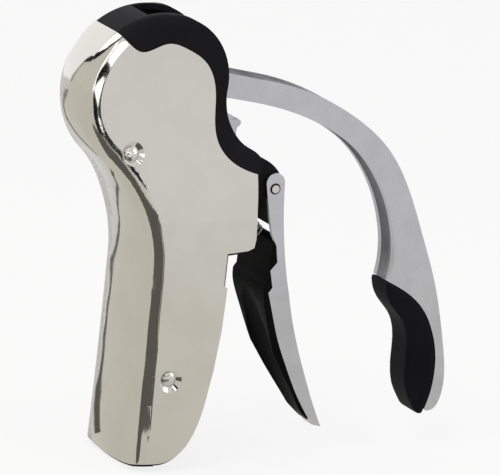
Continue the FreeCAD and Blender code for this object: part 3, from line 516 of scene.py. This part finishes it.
# Lever and its stop: zinc castings with a satin nickel plating, which shows the fine grain of the
# tumbling that came before it. The lever turns on a steel pin through the frame.
def tumbled(finish, dark, light, grain_scale):
    """Tone of tumbled metal, with the grain and the slow clouds that it is mixed from."""
    grain = finish.noise(grain_scale, 5.0, 0.6)
    clouds = finish.noise(90.0, 4.0)
    return (clouds * 0.6 + grain * 0.4).step(0.35, 0.65).mix(dark, light), grain, clouds


def plated(name, dark, light, roughness, grain_scale, depth):
    """Plated or bare metal: tumbled grain, and clouds of tone and of roughness between two values."""
    finish = Finish(name, Metallic=1.0)
    tone, grain, clouds = tumbled(finish, dark, light, grain_scale)
    finish.feed(
        Base_Color=tone,
        Roughness=clouds.step(0.3, 0.7, *roughness) + grain * 0.03,
        Normal=finish.bump(grain, depth))
    return finish.material


dress(plated("satin_zinc", dark=(0.50, 0.50, 0.525), light=(0.56, 0.56, 0.585),
             roughness=(0.26, 0.32), grain_scale=1500.0, depth=0.00002),
      softened("lever", radius=0.0006), softened("lever_stop", radius=0.0004))

# Trigger: a tapering channel of zinc with a bright satin plating, which carries the jaw and turns
# on its pin. A dark ring round the pin is partly oil in the gap of its hole and partly painted shade, and
# shade is painted dark inside the channel's head.
pin_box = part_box("trigger_pin")
pin_x, pin_z = (pin_box[0][0] + pin_box[1][0]) / 2, (pin_box[0][2] + pin_box[1][2]) / 2
pin_radius = (pin_box[1][0] - pin_box[0][0]) / 2
trigger_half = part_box("clamp_trigger")[1][1]
# Painted marks: a dark ring round the pin, partly oil in its gap and partly painted shade, and painted
# shade on the inner faces of the channel's head.
dark_ring_start, dark_ring_end = pin_radius + 0.0004, pin_radius + 0.0009
wall_inner, wall_outer = trigger_half - 0.0012, trigger_half - 0.0008
head_low, head_high = pin_z - 0.026, pin_z - 0.022
oil_and_shade_colour = (0.02, 0.02, 0.022)

trigger = Finish("trigger_zinc", Metallic=1.0)
trigger_tone, trigger_grain, trigger_clouds = tumbled(
    trigger, dark=(0.52, 0.52, 0.56), light=(0.57, 0.57, 0.61), grain_scale=1500.0)
off_x = trigger.along("X") - pin_x
off_z = trigger.along("Z") - pin_z
from_pin = (off_x * off_x + off_z * off_z) ** 0.5
# The ring round the pin: partly oil in the gap of its hole, partly painted shade.
round_pin = from_pin.step(dark_ring_start, dark_ring_end, to_low=1.0, to_high=0.0)
off_middle = trigger.math("ABSOLUTE", trigger.along("Y"))
forward = trigger.along("X", trigger.node("TexCoord", output="Normal"))
# Painted shade on the inner faces of the channel's walls, high in its head, where shade falls inside the
# channel.
painted_shade_inside = (off_middle.step(wall_inner, wall_outer, to_low=1.0, to_high=0.0)
          * forward.step(0.0, 0.4, to_low=1.0, to_high=0.0))
head = trigger.along("Z").step(head_low, head_high)
# Both marks in one dark colour: the oily ring with its painted shade, and the painted shade inside the
# head.
oil_ring_and_painted_shade = trigger.math("MAXIMUM", round_pin, painted_shade_inside * head)
dress(trigger.feed(Base_Color=oil_ring_and_painted_shade.mix(trigger_tone, oil_and_shade_colour),
                   Roughness=trigger_clouds.step(0.3, 0.7, to_low=0.24, to_high=0.3) + oil_ring_and_painted_shade * 0.4,
                   Normal=trigger.bump(trigger_grain, depth=0.00002)),
      softened("clamp_trigger", radius=0.0003, segments=2))

# Carriage: a plain zinc die casting that slides in the frame. Its two racks are driven by the
# compound gear, and it is left as it comes from the die.
dress(plated("carrier_zinc", dark=(0.33, 0.33, 0.34), light=(0.42, 0.42, 0.44),
             roughness=(0.38, 0.5), grain_scale=900.0, depth=0.00005), "carrier")

# Pins, posts, rivets, ring, collar, washer and latch: bright steel, turned or stamped. The rivets
# are headed over in dimples of the casing, and the pins are pressed into the frame.
dress(plated("bright_steel", dark=(0.6, 0.59, 0.56), light=(0.66, 0.65, 0.62),
             roughness=(0.16, 0.24), grain_scale=1500.0, depth=0.00001),
      "frame_posts", "lip_ring", "shell_rivets", "lever_pin", "gear_axle", "worm_collar", "worm_washer",
      "nut_latch", "latch_pin", "trigger_pin")

# Screws and compound gear: steel that is blackened and oiled against rust. The screws hold the
# frame's halves on their posts, and the gear runs on its axle between them.
dress(plated("dark_steel", dark=(0.22, 0.22, 0.23), light=(0.3, 0.3, 0.31),
             roughness=(0.3, 0.4), grain_scale=1200.0, depth=0.00002),
      "frame_screws", "hinge_screws", "compound_gear")

# Worm: steel wire wound to a helix round an open core, coated so that it slips through the cork.
# Its shank hangs in the carriage's bush.
dress(plated("worm_steel", dark=(0.40, 0.40, 0.42), light=(0.47, 0.47, 0.49),
             roughness=(0.2, 0.28), grain_scale=1500.0, depth=0.00001), "worm")


# Springs: drawn wire, coiled cold. One returns the nut's latch, and the other stands between the
# casing and the trigger, where it is pressed flat as the trigger closes.
def closing_spring():
    """The trigger's spring, as a mesh of its own that rides with the casing."""
    piece = bpy.data.objects.new("closing_spring", frame["nodes"]["trigger_spring"].data.copy())
    bpy.context.scene.collection.objects.link(piece)
    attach(piece, "casing")
    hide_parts("trigger_spring")
    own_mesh(piece)
    return piece


dress(plated("spring_steel", dark=(0.55, 0.55, 0.57), light=(0.62, 0.62, 0.64),
             roughness=(0.2, 0.26), grain_scale=1500.0, depth=0.00001),
      "latch_spring", closing_spring())

# Bush: sintered bronze that holds its own oil, with a flange. It is pressed into the carriage
# and lets the worm's shank turn.
dress(plated("bronze", dark=(0.55, 0.38, 0.19), light=(0.62, 0.44, 0.23),
             roughness=(0.3, 0.4), grain_scale=1200.0, depth=0.00002), "worm_bush")
